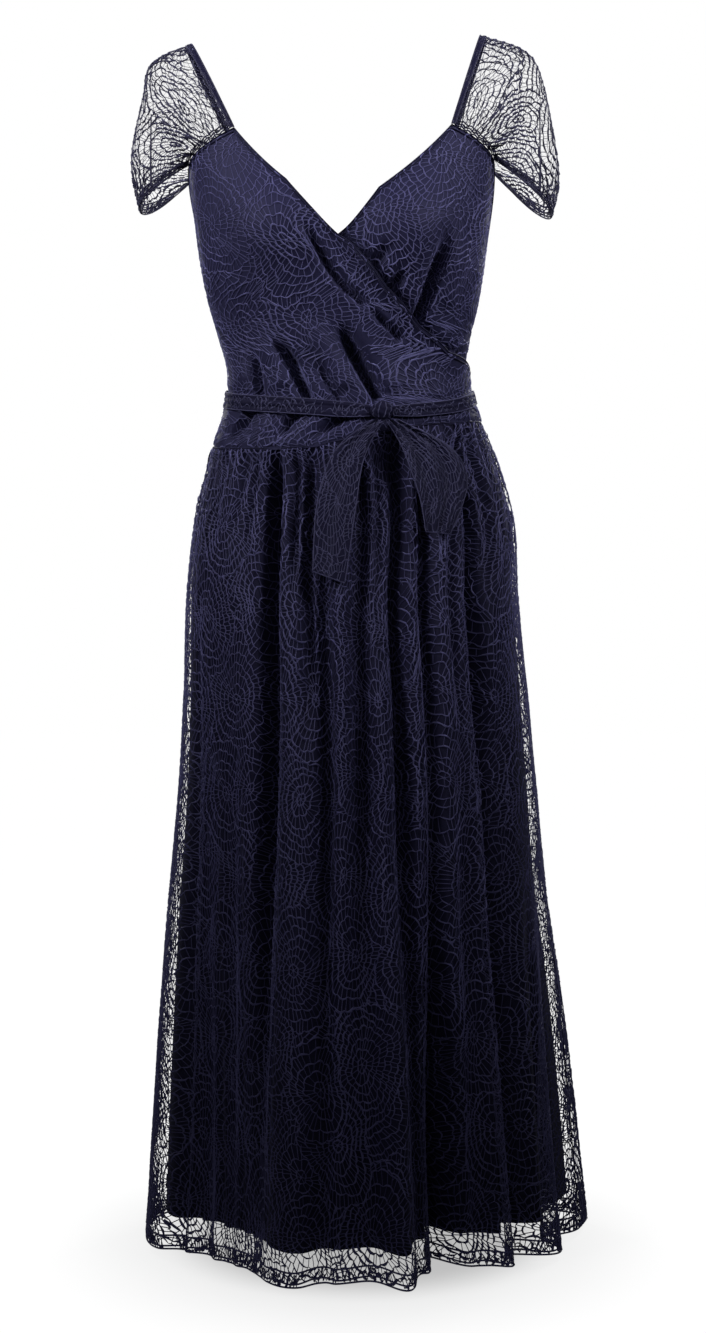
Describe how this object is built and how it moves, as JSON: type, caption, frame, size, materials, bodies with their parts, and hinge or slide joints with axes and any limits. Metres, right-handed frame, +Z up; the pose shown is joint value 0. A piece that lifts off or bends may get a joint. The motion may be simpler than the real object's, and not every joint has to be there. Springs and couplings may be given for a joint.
{
  "type": "lace wrap maxi dress",
  "caption": "Worn-shape lace wrap dress: open wrap neck, cap sleeves, tie waist and a lined, gathered floor-length skirt.",
  "frame": {"origin": "midway between the two shoulder points that carry the dress, where its sleeves rest", "axes": "+Z up along the dress, the front faces -Y, +X is towards the wearer's left"},
  "size_m": [0.5493, 0.5276, 1.4296],
  "materials": {
    "lace": "matt navy lace",
    "lining": "soft satin navy lining",
    "trim": "matt navy lace band"
  },
  "bodies": {
    "root": {"bodice_over_front": "lace", "bodice_over_lining": "lining", "bodice_under_front": "lace", "bodice_under_lining": "lining", "bodice_back": "lace", "bodice_back_lining": "lining", "skirt_front": "lace", "skirt_back": "lace", "skirt_front_lining": "lining", "skirt_back_lining": "lining", "sleeve_right": "lace", "sleeve_right_band": "trim", "sleeve_left": "lace", "sleeve_left_band": "trim", "tie_front_right": "trim", "tie_front_left": "trim", "tie_back": "trim", "tie_knot": "trim", "tie_long_end": "trim", "tie_short_end": "trim"}
  },
  "joints": []
}
